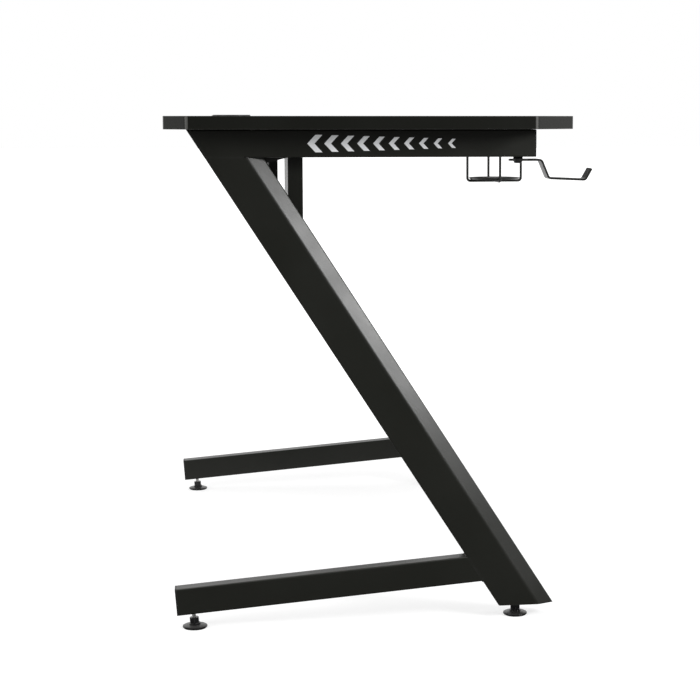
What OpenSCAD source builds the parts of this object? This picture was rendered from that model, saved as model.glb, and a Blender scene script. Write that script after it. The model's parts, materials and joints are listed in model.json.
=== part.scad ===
// Gaming desk with two Z-shaped steel side frames, a chamfered top, a cup holder and a headphone hook.
// Millimetres. +Z is up, the user sits on the -Y side, and X runs along the desk's width.
// Distances called "from the rear" are measured from the top's rear edge towards the user.

/* [Desktop] */
// Width of the top
desk_w = 1100; // [1000:10:1400]
// Depth of the top, front to rear
desk_d = 600; // [580:5:660]
// Height of the top surface above the floor
desk_h = 750; // [720:5:780]
// Thickness of the board
desk_t = 19; // [15:1:25]
// Thickness of the edge band
band_t = 2; // [1:0.5:2.5]
// Radius of the top's vertical corners
corner_r = 8; // [3:0.5:10]
// Rear corner cut, along the width
rear_cut_x = 43; // [20:1:60]
// Rear corner cut, along the depth
rear_cut_y = 32; // [20:1:60]
// Front corner cut, along the width
front_cut_x = 78; // [60:1:120]
// Front corner cut, along the depth
front_cut_y = 68; // [40:1:80]

/* [Top rails and pads] */
// Desktop end to the outer face of the frame
end_overhang = 55; // [40:1:90]
// Height of the top rail
rail_h = 40; // [36:1:50]
// Width of the top rail and of the leg behind it
rail_w = 40; // [36:1:50]
// Wall of all steel tubes
tube_wall = 1.5; // [1.2:0.1:2]
// Outer edge radius of the tubes
tube_r = 2.5; // [2.2:0.1:4]
// Rear top corner of the rail, from the rear
rail_rear = 32.4; // [25:0.2:50]
// Front end of the rail, back from the top's front edge
rail_setback = 59.5; // [40:0.5:75]
// Thickness of the rubber pads under the top
pad_t = 0.6; // [0.5:0.1:3]
// Length and width of a rubber pad
pad_l = 28; // [20:1:34]
// Visible flange of the plastic tube caps
cap_t = 2.5; // [1.5:0.1:4]
// Length of the plug inside a tube cap
plug_l = 10; // [6:0.5:12]

/* [Legs and base bars] */
// Lean of the leg from the vertical, degrees
leg_lean = 32.6; // [30:0.1:34]
// Depth of the leg tube across its length
leg_depth = 71; // [66:1:80]
// Depth of the bevels on the leg's front, along the leg's depth
nose_d = 20.5; // [16:0.5:24]
// Width of the leg's narrow front face
nose_w = 18; // [12:1:24]
// Radius of the bends between the sides and the bevels
bend_r = 12; // [4:1:14]
// Radius of the bends beside the front face
nose_r = 3; // [2.2:0.1:4]
// Thickness of the plates that close the leg and the rail
plate_t = 3; // [2:0.5:4]
// Height of the base bar
bar_h = 40; // [36:1:50]
// Width of the base bar
bar_w = 25; // [22:1:30]
// Rise of the base bar towards the front, degrees
bar_rise = 4.6; // [3:0.1:6]
// Rear foot axis to the rear end of the base bar
bar_tail = 24; // [22:0.5:40]

/* [Levelling feet] */
// Rear foot, from the rear
rear_foot_in = 35.5; // [30:0.5:50]
// Front foot, forward of the leg's rear lower corner
front_foot_in = 28; // [24:0.5:36]
// Diameter of the foot disc
disc_d = 36; // [30:1:44]
// Height of the disc with its boss
disc_h = 7; // [6:0.1:9]
// Diameter of the boss under the hex
boss_d = 17; // [16:0.5:22]
// Width across the flats of the hex
hex_af = 13; // [11:0.5:14]
// Height of the hex
hex_h = 8.6; // [7:0.1:12]
// Diameter of the threaded stud
stud_d = 6; // [5:0.5:8]
// Length of the threaded stud
stud_l = 44; // [40:1:48]
// Bare thread between hex and frame at the rear feet
rear_out = 7.1; // [4:0.1:9]
// Bare thread between hex and frame at the front feet
front_out = 3.4; // [1.5:0.1:5]

/* [Crossbeam] */
// Rear face of the crossbeam brackets, from the rear
beam_rear = 178.5; // [170:1:190]
// Depth of the crossbeam tube
beam_d = 20; // [16:1:25]
// Thickness of the bracket steel
bracket_t = 2; // [1.5:0.1:3]
// Width of the bracket's rear face along the crossbeam
bracket_w = 110; // [80:1:140]
// Width of the bracket's rear face at its lower end
bracket_toe = 30; // [24:1:50]
// Length of the gusset under the rail, forward of the leg
gusset_l = 37; // [30:1:45]
// Depth of the gusset at the leg
gusset_h = 8; // [3:0.5:10]

/* [Screws] */
// Diameter of the frame and accessory screws
screw_d = 6; // [5:0.5:6]
// Head diameter of the bracket, desk and cup holder screws
head_d = 11; // [10:0.5:12]
// Head height of the same screws
head_h = 3.3; // [2.5:0.1:3.5]
// Outer diameter of the weld nuts
nut_d = 12; // [11:0.5:12]
// Height of the weld nuts
nut_h = 6; // [5:0.5:8]
// Diameter of the threaded inserts in the board
insert_d = 9; // [8.5:0.5:11]
// Length of the threaded inserts in the board
insert_l = 13; // [10:0.5:13.5]

/* [Chevron inlays] */
// Number of chevrons on each rail
chev_n = 10; // [6:1:11]
// Tip of the rearmost chevron, from the rear
chev_s = 205; // [190:0.5:220]
// Distance between the first two tips
chev_pitch = 24.4; // [20:0.1:25]
// Change of that distance from one chevron to the next
chev_fall = 0.42; // [0:0.01:0.6]
// Height of the rearmost chevron
chev_h = 25.1; // [18:0.1:28]
// Length of the rearmost chevron
chev_l = 21.9; // [16:0.1:24]
// Thickness of the inlay film
film_t = 0.4; // [0.2:0.1:0.8]

/* [Cable grommets] */
// Grommet axis, from the desk's centre
grommet_x = 295; // [200:5:380]
// Grommet axis, from the rear
grommet_s = 100; // [80:1:120]
// Outer diameter of the grommet rim
rim_d = 58; // [56:1:70]
// Diameter of the hole in the board
hole_d = 50; // [46:1:52]
// Height of the rim above the top
rim_h = 2; // [1.6:0.1:3]
// Width of the cable slot in the cap
slot_w = 14; // [10:1:18]

/* [Cup holder] */
// Middle of the arm's two screws, back from the rail's front end
cup_screw_in = 33; // [30:1:36]
// Middle of the screws to the basket's axis
cup_reach = 133; // [125:0.5:160]
// Turn of the arm away from the desk's middle, degrees
cup_turn = 2.9; // [0:0.1:4]
// Outer diameter of the basket
cup_d = 116; // [95:0.5:120]
// Depth of the basket below its ring
cup_h = 65; // [50:1:90]
// Diameter of the basket wire
wire_d = 5; // [4:0.5:6]
// Radius of the wire's lower bends
wire_bend = 6; // [5:0.5:10]
// Thickness of the flat steel arm
arm_t = 2.5; // [2:0.1:4]
// Width of the flat steel arm and of the hook
arm_w = 28; // [24:1:30]
// Thickness of the dish in the basket
tray_t = 1.5; // [1:0.1:2]
// Height of the dish's rim
tray_h = 4.5; // [3:0.5:6]

/* [Headphone hook] */
// Hook screw, back from the rail's front end
hook_screw_in = 24; // [22:0.5:30]
// Thickness of the hook's steel strip
hook_t = 3; // [1.5:0.1:3]
// Screw axis to the hook's upper bend
hook_neck = 33; // [26:0.5:45]
// Depth from the strip's neck to its shelf
hook_drop = 27; // [20:0.5:40]
// Length of the shelf that the headband rests on
hook_shelf = 54.5; // [40:0.1:70]
// Height of the upturned tip above the shelf
hook_lip = 16.5; // [12:0.5:25]
// Spacer between rail and hook
spacer_h = 3; // [2:0.1:5]
// Head diameter of the hook screw
hook_head_d = 14; // [12:0.5:16]

/* [Hidden] */

$fn = 48;
over = 1;              // how far a cutting shape runs past the face it cuts
fit = 0.05;            // radial clearance of a turning stud or screw
play = 0.1;            // axial clearance of a turning or sliding piece
slack = 0.3;           // radial clearance of a screw hole
arc_steps = 6;         // chords in a rounded outline corner

// Heights
under_z = desk_h - desk_t;
rail_top = under_z - pad_t;
rail_bot = rail_top - rail_h;
rail_mid = (rail_top + rail_bot) / 2;

// Sideways places, as distances from the desk's middle
half_w = desk_w / 2;
frame_x = half_w - end_overhang;
rail_x = frame_x - rail_w / 2;
bar_x = frame_x - bar_w / 2;
inner_x = frame_x - rail_w;

// Places from the rear
rail_front = desk_d - rail_setback;
hook_s = rail_front - hook_screw_in;
cup_s = rail_front - cup_screw_in;
cup_cx = rail_x + cup_reach * sin(cup_turn);
cup_cs = cup_s + cup_reach * cos(cup_turn);
total_d = cup_cs + cup_d / 2;
rear_y = total_d / 2;

// Levelling feet: each stack is measured along its stud from the floor
foot_stack = disc_h + play + hex_h;
front_stack = foot_stack + front_out;
rear_stack = foot_stack + rear_out;
leg_bot = front_stack;
disc_edge = disc_d / 24;
disc_rim = disc_h * 0.55;
disc_floor = disc_h * 0.3;

// Leg section: narrow front face, bevels, sides and rear face, counter-clockwise
leg_points = [
    [-nose_w / 2, -leg_depth], [nose_w / 2, -leg_depth], [rail_w / 2, nose_d - leg_depth],
    [rail_w / 2, 0], [-rail_w / 2, 0], [-rail_w / 2, nose_d - leg_depth]
];
leg_radii = [nose_r, nose_r, bend_r, tube_r, tube_r, bend_r];
flat_run = (leg_depth - nose_d) / cos(leg_lean);

// Crossbeam bracket
beam_mid = beam_rear + (beam_d + bracket_t) / 2;
low_screw_z = rail_top - (beam_mid - flat_run / 2 - rail_rear) / tan(leg_lean);
bracket_low = low_screw_z - head_d * 1.6;
bracket_knee = (rail_bot + bracket_low) / 2;

// Rubber pads along a rail, with and without a screw through them
screw_shares = [0.34, 0.51, 0.815];
plain_shares = [0.078, 0.153, 0.954];
function along_rail(shares) = [for (share = shares) rail_rear + share * (rail_front - rail_rear)];
screw_places = along_rail(screw_shares);
plain_places = along_rail(plain_shares);

// Cup holder and hook heights
ring_r = (cup_d - wire_d) / 2;
ring_z = rail_bot - arm_t - wire_d / 2;
cup_low = ring_z - cup_h;
hook_top = rail_bot - spacer_h - play;
hook_mid = hook_top - hook_t / 2;

function from_rear(s) = rear_y - s;
function rear_line(z) = rail_rear + (rail_top - z) * tan(leg_lean);
function nose_line(z) = rear_line(z) + leg_depth / cos(leg_lean);

// Outward normal of edge i of a counter-clockwise outline
function edge_normal(p, i) = let (e = p[(i + 1) % len(p)] - p[i]) [e.y, -e.x] / norm(e);
function previous(p, i) = (i + len(p) - 1) % len(p);
// Corner i of the outline moved in by t from both of its edges
function corner_in(p, i, t) =
    let (a = edge_normal(p, previous(p, i)), b = edge_normal(p, i)) p[i] - t * (a + b) / (1 + a * b);
function inset(p, t) = [for (i = [0 : len(p) - 1]) corner_in(p, i, t)];
function angle_of(v) = atan2(v.y, v.x);
function turn_between(a, b) = (b - a + 360) % 360;
// Arc of radius r in place of corner i
function corner_arc(p, i, r) =
    let (start = angle_of(edge_normal(p, previous(p, i))),
         sweep = turn_between(start, angle_of(edge_normal(p, i))),
         centre = corner_in(p, i, r))
    [for (k = [0 : arc_steps]) let (a = start + sweep * k / arc_steps) centre + r * [cos(a), sin(a)]];
function rounded(p, radii) = [for (i = [0 : len(p) - 1]) each corner_arc(p, i, radii[i])];
function alike(p, r) = [for (i = p) r];
function box_points(w, h) = [[-w, -h], [w, -h], [w, h], [-w, h]] / 2;
function round_box(w, h, r) = let (p = box_points(w, h)) rounded(p, alike(p, r));

// Arc of radius r that rounds the bend of an open path at b
function bend_arc(a, b, c, r) =
    let (u = (a - b) / norm(a - b), v = (c - b) / norm(c - b), half = acos(u * v) / 2,
         centre = b + (u + v) / norm(u + v) * r / sin(half), first = b + u * r / tan(half) - centre,
         sweep = (180 - 2 * half) * sign(u.x * v.y - u.y * v.x) * -1)
    [for (k = [0 : arc_steps]) let (t = sweep * k / arc_steps)
        centre + [first.x * cos(t) - first.y * sin(t), first.x * sin(t) + first.y * cos(t)]];
function bent(p, r) = [
    p[0], for (i = [1 : len(p) - 2]) each bend_arc(p[i - 1], p[i], p[i + 1], r), p[len(p) - 1]
];
// Direction of an open path at point i
function heading(p, i) =
    let (d = p[min(i + 1, len(p) - 1)] - p[max(i - 1, 0)]) d / norm(d);
// Outline of a strip of thickness t along an open path
function ribbon(p, t) = let (n = len(p) - 1) [
    for (i = [0 : n]) p[i] + [-heading(p, i).y, heading(p, i).x] * t / 2,
    for (i = [n : -1 : 0]) p[i] - [-heading(p, i).y, heading(p, i).x] * t / 2
];

// Top outline, counter-clockwise from the front left
function desk_points() = let (front = from_rear(desk_d), rear = rear_y) [
    [front_cut_x - half_w, front], [half_w - front_cut_x, front],
    [half_w, front + front_cut_y], [half_w, rear - rear_cut_y],
    [half_w - rear_cut_x, rear], [rear_cut_x - half_w, rear],
    [-half_w, rear - rear_cut_y], [-half_w, front + front_cut_y]
];

// A flat shape drawn as [x, z], made solid between two distances from the rear
module along_y(s0, s1) {
    translate([0, from_rear(s0), 0]) rotate([90, 0, 0]) linear_extrude(s1 - s0) children();
}

// A flat shape drawn as [y, z], made solid between two places along X
module along_x(x0, x1) {
    translate([x0, 0, 0]) rotate([90, 0, 90]) linear_extrude(x1 - x0) children();
}

module tube_section(w, h) {
    difference() {
        polygon(round_box(w, h, tube_r));
        polygon(round_box(w - 2 * tube_wall, h - 2 * tube_wall, tube_r - tube_wall));
    }
}

// Plug of a tube cap: a hollow box that fits the tube
module plug_section(w, h) {
    inner = 2 * (tube_wall + play);
    difference() {
        polygon(round_box(w - inner, h - inner, tube_r - tube_wall));
        polygon(box_points(w - inner - 2 * tube_wall, h - inner - 2 * tube_wall));
    }
}

module weld_nut() {
    difference() {
        cylinder(h = nut_h, d = nut_d);
        translate([0, 0, -over]) cylinder(h = nut_h + 2 * over, d = screw_d);
    }
}

// Screw with its head below z = 0 and its shank above
module button_screw(length, wide, high) {
    translate([0, 0, -high]) cylinder(h = high, d1 = wide * 0.75, d2 = wide);
    cylinder(h = length, d = screw_d);
}

module both_sides() {
    children();
    mirror([1, 0, 0]) children();
}

// Desktop

module board_holes() {
    both_sides() {
        translate([grommet_x, from_rear(grommet_s), under_z - over])
            cylinder(h = desk_t + 2 * over, d = hole_d);
        for (s = screw_places)
            translate([rail_x, from_rear(s), under_z - over]) cylinder(h = insert_l + over, d = insert_d);
    }
}

module desktop_board() {
    points = inset(desk_points(), band_t);
    color("#232323") difference() {
        translate([0, 0, under_z]) linear_extrude(desk_t)
            polygon(rounded(points, alike(points, corner_r - band_t)));
        board_holes();
    }
}

module edge_band() {
    outer = desk_points();
    inner = inset(outer, band_t);
    color("#1b1b1b") translate([0, 0, under_z]) linear_extrude(desk_t) difference() {
        polygon(rounded(outer, alike(outer, corner_r)));
        polygon(rounded(inner, alike(inner, corner_r - band_t)));
    }
}

module desk_inserts() {
    color("#b8a25a") both_sides() for (s = screw_places)
        translate([rail_x, from_rear(s), under_z]) difference() {
            cylinder(h = insert_l, d = insert_d);
            translate([0, 0, -over]) cylinder(h = insert_l + 2 * over, d = screw_d);
        }
}

// Screws that stand inside the rail and pull the top down on the pads
module desk_screws() {
    grip = tube_wall + pad_t + insert_l - over;
    color("#2b2b2b") both_sides() for (s = screw_places)
        translate([rail_x, from_rear(s), rail_top - tube_wall]) button_screw(grip, head_d, head_h);
}

module rail_pad(s) {
    translate([rail_x - pad_l / 2, from_rear(s) - pad_l / 2, rail_top]) cube([pad_l, pad_l, pad_t]);
}

module rail_pads() {
    color("#101010") both_sides() {
        for (s = plain_places) rail_pad(s);
        for (s = screw_places) difference() {
            rail_pad(s);
            translate([rail_x, from_rear(s), rail_top - over]) cylinder(h = pad_t + 2 * over, d = screw_d);
        }
    }
}

// Cable grommets

rebate_r = rim_d / 2 - rim_h * 1.75;
sleeve_r = hole_d / 2;
sleeve_wall = 2.4;
cap_disc_t = rim_h * 0.6;
skirt_r = sleeve_r - sleeve_wall - slack;
skirt_h = desk_t * 0.45;

module grommet_sleeve() {
    lip = rim_h * 0.35;
    color("#161616") translate([-grommet_x, from_rear(grommet_s), desk_h]) rotate_extrude() polygon([
        [sleeve_r - sleeve_wall, -desk_t], [sleeve_r, -desk_t], [sleeve_r, 0], [rim_d / 2, 0],
        [rim_d / 2, rim_h - lip], [rim_d / 2 - lip, rim_h], [rebate_r, rim_h],
        [rebate_r, rim_h - cap_disc_t], [sleeve_r - sleeve_wall, rim_h - cap_disc_t]
    ]);
}

// Cap with a skirt, open on the rear side for cables
module grommet_cap() {
    disc_z = rim_h - cap_disc_t;
    color("#1a1a1a") translate([-grommet_x, from_rear(grommet_s), desk_h]) difference() {
        rotate_extrude() polygon([
            [0, disc_z + play], [skirt_r - sleeve_wall / 2, disc_z + play],
            [skirt_r - sleeve_wall / 2, -skirt_h], [skirt_r, -skirt_h], [skirt_r, disc_z + play],
            [rebate_r - slack, disc_z + play], [rebate_r - slack, rim_h], [0, rim_h]
        ]);
        translate([-slot_w / 2, 0, -skirt_h - over]) cube([slot_w, rim_d, skirt_h + rim_h + 2 * over]);
        translate([0, 0, -skirt_h - over]) cylinder(h = skirt_h + rim_h + 2 * over, d = slot_w);
    }
}

// Top rails

module rail_cut_back() {
    step = plate_t / cos(leg_lean);
    far = rail_rear - rail_w;
    high = rail_top + over;
    low = rail_bot - over;
    along_x(-frame_x - over, -inner_x + over) polygon([
        [from_rear(far), high], [from_rear(rear_line(high) + step), high],
        [from_rear(rear_line(low) + step), low], [from_rear(far), low]
    ]);
}

module top_rail() {
    hole = screw_d + 2 * slack;
    color("#252525") difference() {
        along_y(rail_rear, rail_front - cap_t) translate([-rail_x, rail_mid]) tube_section(rail_w, rail_h);
        rail_cut_back();
        // screw holes in the upper wall, with wider driver holes below them
        for (s = screw_places) translate([-rail_x, from_rear(s), 0]) {
            translate([0, 0, rail_mid]) cylinder(h = rail_h, d = hole);
            translate([0, 0, rail_bot - over]) cylinder(h = tube_wall + 2 * over, d = head_d + 2 * over);
        }
        // crossbeam screw hole in the inner wall
        translate([-rail_x, from_rear(beam_mid), rail_mid]) rotate([0, 90, 0])
            cylinder(h = rail_w, d = hole);
    }
}

module left_top_rail() {
    difference() {
        top_rail();
        at_hook() translate([0, 0, -over]) cylinder(h = tube_wall + 2 * over, d = screw_d + 2 * slack);
    }
}

module right_top_rail() {
    difference() {
        mirror([1, 0, 0]) top_rail();
        cup_screw_places() translate([0, 0, -over])
            cylinder(h = tube_wall + 2 * over, d = screw_d + 2 * slack);
    }
}

// Plate welded on the slanting rear end of the rail
module rail_rear_plate() {
    step = plate_t / cos(leg_lean);
    color("#252525") intersection() {
        along_x(-frame_x, -inner_x) polygon([
            [from_rear(rail_rear), rail_top], [from_rear(rail_rear + step), rail_top],
            [from_rear(rear_line(rail_bot) + step), rail_bot], [from_rear(rear_line(rail_bot)), rail_bot]
        ]);
        along_y(rail_rear - over, rail_front) translate([-rail_x, rail_mid])
            polygon(round_box(rail_w, rail_h, tube_r));
    }
}

module rail_front_cap() {
    color("#1c1c1c") translate([-rail_x, 0, rail_mid]) {
        along_y(rail_front - cap_t, rail_front) polygon(round_box(rail_w, rail_h, tube_r));
        along_y(rail_front - cap_t - plug_l, rail_front - cap_t) plug_section(rail_w, rail_h);
    }
}

// Film inlays on the rail's outer face, with their tips to the rear
module chevrons() {
    color("#c9cbcc") for (i = [0 : chev_n - 1]) {
        share = 1 - i * 0.053;
        s = chev_s + chev_pitch * i - chev_fall * i * (i - 1) / 2;
        length = chev_l * share;
        high = chev_h * share / 2;
        arm = length * 0.47;
        along_x(-frame_x - film_t, -frame_x) translate([0, rail_mid]) polygon([
            [from_rear(s), 0], [from_rear(s + length - arm), high], [from_rear(s + length), high],
            [from_rear(s + arm), 0], [from_rear(s + length), -high], [from_rear(s + length - arm), -high]
        ]);
    }
}

module corner_gussets() {
    color("#202020") both_sides() along_x(-rail_x - plate_t / 2, -rail_x + plate_t / 2) polygon([
        [from_rear(nose_line(rail_bot)), rail_bot], [from_rear(nose_line(rail_bot) + gusset_l), rail_bot],
        [from_rear(nose_line(rail_bot - gusset_h)), rail_bot - gusset_h]
    ]);
}

// Diagonal legs

// Leaning prism of the leg's section, drawn in by the given depth
module leg_prism(depth) {
    long = rail_top / cos(leg_lean) + leg_depth;
    p = inset(leg_points, depth);
    translate([-rail_x, from_rear(rail_rear), rail_top]) rotate([-leg_lean, 0, 0])
        translate([0, 0, -long]) linear_extrude(2 * long)
            polygon(rounded(p, [for (r = leg_radii) r - depth]));
}

module between(z0, z1) {
    translate([-half_w, -rear_y, z0]) cube([desk_w, total_d, z1 - z0]);
}

module at_front_foot() {
    translate([-rail_x, from_rear(rear_line(leg_bot) + front_foot_in), 0]) children();
}

module diagonal_leg() {
    color("#262626") difference() {
        intersection() {
            leg_prism(0);
            between(leg_bot, rail_bot);
        }
        leg_prism(tube_wall);
        translate([-rail_x, from_rear(beam_mid), low_screw_z]) rotate([0, 90, 0])
            cylinder(h = rail_w, d = screw_d + 2 * slack);
    }
}

// Plate inside the leg's lower end, drilled for the front foot
module leg_foot_plate() {
    color("#262626") difference() {
        intersection() {
            leg_prism(tube_wall);
            between(leg_bot, leg_bot + plate_t);
        }
        at_front_foot() translate([0, 0, leg_bot - over])
            cylinder(h = plate_t + 2 * over, d = stud_d + 2 * slack);
    }
}

// Base bars

// Frame of the rear foot: z runs up the stud, which stands square to the sloping bar
module at_rear_foot() {
    translate([-bar_x, from_rear(rear_foot_in), 0]) rotate([-bar_rise, 0, 0]) children();
}

// All that lies forward of the leg's rear face
module leg_side() {
    along_x(-half_w, 0) polygon([
        [from_rear(rear_line(rail_bot)), rail_bot], [from_rear(rear_line(0)), 0],
        [from_rear(2 * desk_d), 0], [from_rear(2 * desk_d), rail_bot]
    ]);
}

module base_bar() {
    color("#262626") difference() {
        at_rear_foot() difference() {
            translate([0, bar_tail - cap_t, rear_stack + bar_h / 2]) rotate([90, 0, 0])
                linear_extrude(desk_d) tube_section(bar_w, bar_h);
            translate([0, 0, rear_stack - over])
                cylinder(h = tube_wall + 2 * over, d = stud_d + 2 * slack);
        }
        leg_side();
    }
}

module bar_rear_cap() {
    color("#1c1c1c") at_rear_foot() translate([0, bar_tail, rear_stack + bar_h / 2]) rotate([90, 0, 0]) {
        linear_extrude(cap_t) polygon(round_box(bar_w, bar_h, tube_r));
        translate([0, 0, cap_t]) linear_extrude(plug_l) plug_section(bar_w, bar_h);
    }
}

// Levelling feet, drawn along the stud from the floor point

module foot_disc(tilt) {
    color("#141414") difference() {
        union() {
            rotate([-tilt, 0, 0]) rotate_extrude() polygon([
                [0, 0], [disc_d / 2 - disc_edge, 0], [disc_d / 2, disc_edge],
                [disc_d / 2, disc_rim - disc_edge / 2], [disc_d / 2 - disc_edge, disc_rim],
                [boss_d / 2, disc_h * 0.75], [0, disc_h * 0.75]
            ]);
            translate([0, 0, disc_floor + play]) cylinder(h = disc_h - disc_floor - play, d = boss_d);
        }
        translate([0, 0, disc_floor]) cylinder(h = disc_h, d = stud_d + 2 * fit);
    }
}

module foot_hex() {
    color("#1d1d1d") translate([0, 0, disc_h + play]) difference() {
        cylinder(h = hex_h, d = hex_af / cos(30), $fn = 6);
        translate([0, 0, -over]) cylinder(h = hex_h + 2 * over, d = stud_d);
    }
}

module foot_stud() {
    color("#b9bcc0") translate([0, 0, disc_floor + play]) cylinder(h = stud_l, d = stud_d);
}

module foot_nut() {
    difference() {
        cylinder(h = nut_h, d = nut_d);
        translate([0, 0, -over]) cylinder(h = nut_h + 2 * over, d = stud_d + 2 * fit);
    }
}

module foot_nuts() {
    color("#8d8f92") both_sides() {
        at_front_foot() translate([0, 0, leg_bot + plate_t]) foot_nut();
        at_rear_foot() translate([0, 0, rear_stack + tube_wall]) foot_nut();
    }
}

module left_rear_foot_disc() at_rear_foot() foot_disc(-bar_rise);
module left_rear_foot_hex() at_rear_foot() foot_hex();
module left_rear_foot_stud() at_rear_foot() foot_stud();
module left_front_foot_disc() at_front_foot() foot_disc(0);
module left_front_foot_hex() at_front_foot() foot_hex();
module left_front_foot_stud() at_front_foot() foot_stud();

// Crossbeam and its brackets

// Axes of the crossbeam's screws, with z pointing forward from the bracket's rear face
module at_beam_screws() {
    both_sides() for (share = [0.27, 0.76])
        translate([bracket_w * share - inner_x, from_rear(beam_rear), rail_mid]) rotate([90, 0, 0]) children();
}

// The crossbeam ends short of the brackets' side screws, so it slips in after they are tight
module crossbeam() {
    end = inner_x - bracket_t - head_h - over;
    color("#242424") difference() {
        along_x(-end, end)
            translate([from_rear(beam_rear + bracket_t + beam_d / 2), rail_mid]) tube_section(beam_d, rail_h);
        at_beam_screws() cylinder(h = bracket_t + tube_wall + over, d = screw_d + 2 * slack);
    }
}

module beam_screws() {
    color("#2b2b2b") at_beam_screws() button_screw(bracket_t + tube_wall + nut_h, head_d, head_h);
}

module beam_nuts() {
    color("#8d8f92") at_beam_screws() translate([0, 0, bracket_t + tube_wall]) weld_nut();
}

module beam_bracket() {
    hole = screw_d + 2 * slack;
    color("#242424") difference() {
        union() {
            translate([-inner_x, from_rear(beam_rear + bracket_t + beam_d), bracket_low])
                cube([bracket_t, beam_d + bracket_t, rail_top - bracket_low]);
            along_y(beam_rear, beam_rear + bracket_t) translate([-inner_x, 0]) polygon([
                [0, rail_top], [0, bracket_low], [bracket_toe, bracket_low],
                [bracket_w, bracket_knee], [bracket_w, rail_top]
            ]);
        }
        for (z = [rail_mid, low_screw_z])
            translate([-inner_x - over, from_rear(beam_mid), z]) rotate([0, 90, 0])
                cylinder(h = bracket_t + 2 * over, d = hole);
        at_beam_screws() translate([0, 0, -over]) cylinder(h = bracket_t + 2 * over, d = hole);
    }
}

module bracket_screws() {
    color("#2b2b2b") both_sides() for (z = [rail_mid, low_screw_z])
        translate([-inner_x + bracket_t, from_rear(beam_mid), z]) rotate([0, -90, 0])
            button_screw(bracket_t + tube_wall + nut_h, head_d, head_h);
}

module bracket_nuts() {
    color("#8d8f92") both_sides() for (z = [rail_mid, low_screw_z])
        translate([-inner_x - tube_wall, from_rear(beam_mid), z]) rotate([0, -90, 0]) weld_nut();
}

// Cup holder under the right rail

module at_cup() {
    translate([rail_x, from_rear(cup_s), 0]) rotate([0, 0, cup_turn]) children();
}

module cup_screw_places() {
    for (side = [-1, 1]) at_cup() translate([0, side * head_d * 1.1, rail_bot]) children();
}

module cup_arm() {
    end = ring_r - wire_d;
    tail = arm_w * 0.8;
    color("#202020") difference() {
        at_cup() translate([0, 0, rail_bot - arm_t]) linear_extrude(arm_t - fit) {
            translate([-arm_w / 2, end - cup_reach]) square([arm_w, cup_reach - end + tail / 2]);
            translate([0, tail / 2]) circle(d = arm_w);
        }
        cup_screw_places() translate([0, 0, -arm_t - over])
            cylinder(h = arm_t + 2 * over, d = screw_d + 2 * slack);
    }
}

// One wire bent to a U, standing on z = 0 at its centre line
module u_wire() {
    side = ring_r - wire_bend;
    translate([-side, 0, 0]) rotate([0, 90, 0]) cylinder(h = 2 * side, d = wire_d);
    for (s = [0, 1]) mirror([s, 0, 0]) {
        translate([side, 0, wire_bend]) rotate([90, 0, 0]) rotate([0, 0, -90])
            rotate_extrude(angle = 90) translate([wire_bend, 0]) circle(d = wire_d);
        translate([ring_r, 0, wire_bend]) cylinder(h = cup_h - wire_bend, d = wire_d);
    }
}

module at_basket() {
    at_cup() translate([0, -cup_reach, 0]) children();
}

module cup_basket() {
    color("#1c1c1c") at_basket() {
        translate([0, 0, ring_z]) rotate_extrude() translate([ring_r, 0]) circle(d = wire_d);
        translate([0, 0, cup_low]) {
            u_wire();
            rotate([0, 0, 90]) u_wire();
        }
    }
}

module cup_tray() {
    foot = ring_r - wire_bend - slack;
    brim = foot + tray_h * 0.6;
    color("#1f1f1f") at_basket() translate([0, 0, cup_low + wire_d / 2]) rotate_extrude() polygon([
        [0, 0], [foot, 0], [brim, tray_h], [brim - tray_t, tray_h], [foot - tray_t / 2, tray_t], [0, tray_t]
    ]);
}

module cup_screws() {
    color("#2b2b2b") cup_screw_places() translate([0, 0, -arm_t])
        button_screw(arm_t + tube_wall + nut_h, head_d, head_h);
}

// Headphone hook under the left rail

module at_hook() {
    translate([-rail_x, from_rear(hook_s), rail_bot]) children();
}

// Centre line of the strip as [y, z] from the screw axis, rear end first
hook_path = [
    [0, 0], [-hook_neck, 0], [-hook_neck - hook_drop * 0.42, -hook_drop],
    [-hook_neck - hook_drop * 0.42 - hook_shelf, -hook_drop * 1.09],
    [-hook_neck - hook_drop * 0.42 - hook_shelf - hook_lip * 0.56, hook_lip - hook_drop * 1.09]
];

module hook_strip() {
    level = -spacer_h - play - hook_t / 2;
    color("#202020") at_hook() difference() {
        union() {
            translate([-arm_w / 2, 0, level]) rotate([90, 0, 90]) linear_extrude(arm_w)
                polygon(ribbon(bent(hook_path, hook_t * 1.75), hook_t));
            translate([0, 0, level - hook_t / 2]) cylinder(h = hook_t, d = arm_w);
        }
        translate([0, 0, level - hook_t]) cylinder(h = 2 * hook_t, d = screw_d + 2 * fit);
    }
}

module hook_screw() {
    below = spacer_h + hook_t + 2 * play;
    color("#202020") at_hook() translate([0, 0, -below])
        button_screw(below + tube_wall + nut_h, hook_head_d, head_h);
}

module hook_spacer() {
    color("#161616") at_hook() translate([0, 0, -spacer_h]) difference() {
        cylinder(h = spacer_h, d = hook_head_d);
        translate([0, 0, -over]) cylinder(h = spacer_h + 2 * over, d = screw_d);
    }
}

module accessory_nuts() {
    color("#8d8f92") {
        at_hook() translate([0, 0, tube_wall]) weld_nut();
        cup_screw_places() translate([0, 0, tube_wall]) weld_nut();
    }
}

module right() {
    mirror([1, 0, 0]) children();
}

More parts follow.
